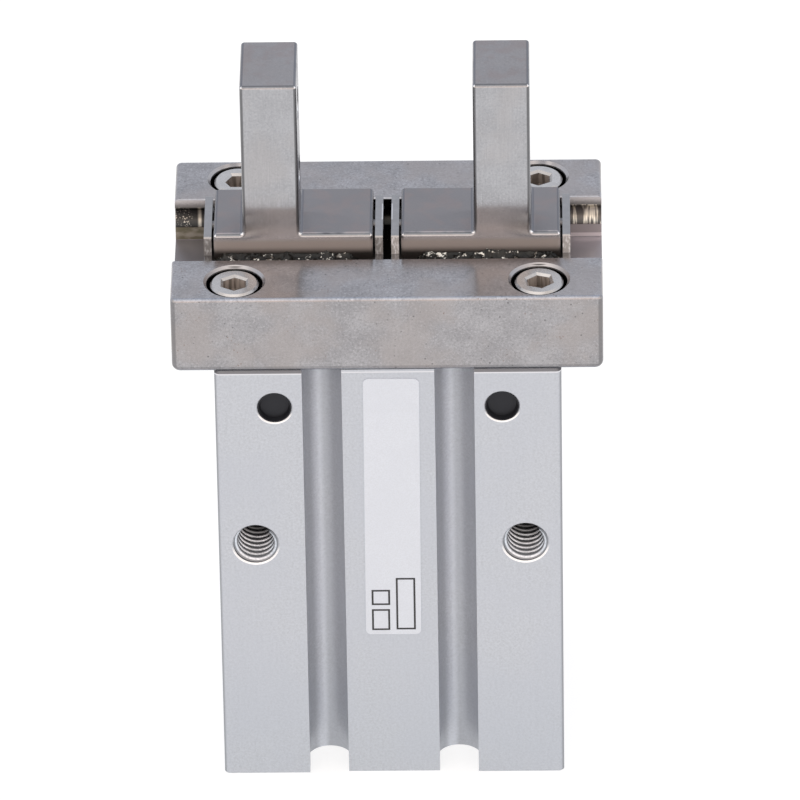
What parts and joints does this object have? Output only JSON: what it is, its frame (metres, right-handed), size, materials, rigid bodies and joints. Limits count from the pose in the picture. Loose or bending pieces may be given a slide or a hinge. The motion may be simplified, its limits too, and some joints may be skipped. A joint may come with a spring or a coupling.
{
  "type": "pneumatic parallel gripper",
  "caption": "Pneumatic two-finger parallel gripper: steel fingers on ball slides, driven by a piston through levers in an aluminium body with switch grooves.",
  "frame": {"origin": "bottom centre of the body, on the face that mounts to a flange", "axes": "+Z from the body to the fingertips, X along the finger travel, -Y is the front with the label"},
  "size_m": [0.038, 0.0236, 0.0673],
  "materials": {
    "anodised_body": "hard anodised, satin, with a fine grain",
    "guide_steel": "ground stainless steel with small specks",
    "finger_steel": "ground stainless steel",
    "stopper_plate": "pressed stainless sheet",
    "screw_steel": "bright plated steel",
    "bearing_steel": "polished hardened steel",
    "black_shaft": "black oxide",
    "lever_steel": "hardened steel",
    "rod_steel": "ground stainless steel",
    "spring_steel": "phosphated spring steel",
    "piston_aluminium": "chromated",
    "nitrile_rubber": "matt black",
    "bumper_rubber": "matt",
    "magnet": "bonded magnet, dull",
    "label_film": "silvery film, bare"
  },
  "bodies": {
    "housing": {"body": "anodised_body", "guide": "guide_steel", "guide_screws": "screw_steel", "guide_dowels": "bearing_steel", "cap": "piston_aluminium", "cap_gasket": "nitrile_rubber", "retaining_ring": "spring_steel", "bumper_lower": "bumper_rubber", "bumper_upper": "bumper_rubber", "rod_seal": "nitrile_rubber", "lever_shaft_left": "black_shaft", "lever_shaft_right": "black_shaft", "label": "label_film"},
    "piston": {"piston_lower": "piston_aluminium", "piston_upper": "piston_aluminium", "piston_screw": "screw_steel", "piston_seal": "nitrile_rubber", "magnet_ring": "magnet", "piston_rod": "rod_steel"},
    "finger_left": {"finger_left": "finger_steel", "stopper_inner_left": "stopper_plate", "stopper_outer_left": "stopper_plate", "stopper_pins_left": "bearing_steel"},
    "balls_left": {"balls_front_left": "bearing_steel", "balls_rear_left": "bearing_steel"},
    "lever_left": {"lever_left": "lever_steel", "roller_pin_left": "bearing_steel"},
    "roller_left": {"roller_left": "bearing_steel"},
    "finger_right": {"finger_right": "finger_steel", "stopper_inner_right": "stopper_plate", "stopper_outer_right": "stopper_plate", "stopper_pins_right": "bearing_steel"},
    "balls_right": {"balls_front_right": "bearing_steel", "balls_rear_right": "bearing_steel"},
    "lever_right": {"lever_right": "lever_steel", "roller_pin_right": "bearing_steel"},
    "roller_right": {"roller_right": "bearing_steel"}
  },
  "joints": [
    {"name": "piston_slide", "type": "slide", "parent": "housing", "child": "piston", "axis": [0, 0, 1], "range_m": [-0.00022, 0.00244]},
    {"name": "finger_left_slide", "type": "slide", "parent": "housing", "child": "finger_left", "axis": [-1, 0, 0], "range_m": [-0.00025, 0.00275]},
    {"name": "balls_left_roll", "type": "slide", "parent": "housing", "child": "balls_left", "axis": [-1, 0, 0], "range_m": [-0.00013, 0.00137]},
    {"name": "lever_left_pivot", "type": "hinge", "parent": "housing", "child": "lever_left", "pos_m": [-0.01005, 0, 0.039], "axis": [0, -1, 0], "range_deg": [-1.61, 17.7]},
    {"name": "roller_left_spin", "type": "hinge", "parent": "lever_left", "child": "roller_left", "pos_m": [-0.0088, 0, 0.04781], "axis": [0, -1, 0], "continuous": true},
    {"name": "finger_right_slide", "type": "slide", "parent": "housing", "child": "finger_right", "axis": [1, 0, 0], "range_m": [-0.00025, 0.00275]},
    {"name": "balls_right_roll", "type": "slide", "parent": "housing", "child": "balls_right", "axis": [1, 0, 0], "range_m": [-0.00013, 0.00137]},
    {"name": "lever_right_pivot", "type": "hinge", "parent": "housing", "child": "lever_right", "pos_m": [0.01005, 0, 0.039], "axis": [0, 1, 0], "range_deg": [-1.61, 17.7]},
    {"name": "roller_right_spin", "type": "hinge", "parent": "lever_right", "child": "roller_right", "pos_m": [0.0088, 0, 0.04781], "axis": [0, 1, 0], "continuous": true}
  ],
  "couplings": [
    {"joint": "finger_left_slide", "follows": "piston_slide", "ratio": 1.1266},
    {"joint": "balls_left_roll", "follows": "piston_slide", "ratio": 0.56329},
    {"joint": "lever_left_pivot", "follows": "piston_slide", "rad_per_m": 126.58},
    {"joint": "finger_right_slide", "follows": "piston_slide", "ratio": 1.1266},
    {"joint": "balls_right_roll", "follows": "piston_slide", "ratio": 0.56329},
    {"joint": "lever_right_pivot", "follows": "piston_slide", "rad_per_m": 126.58}
  ]
}
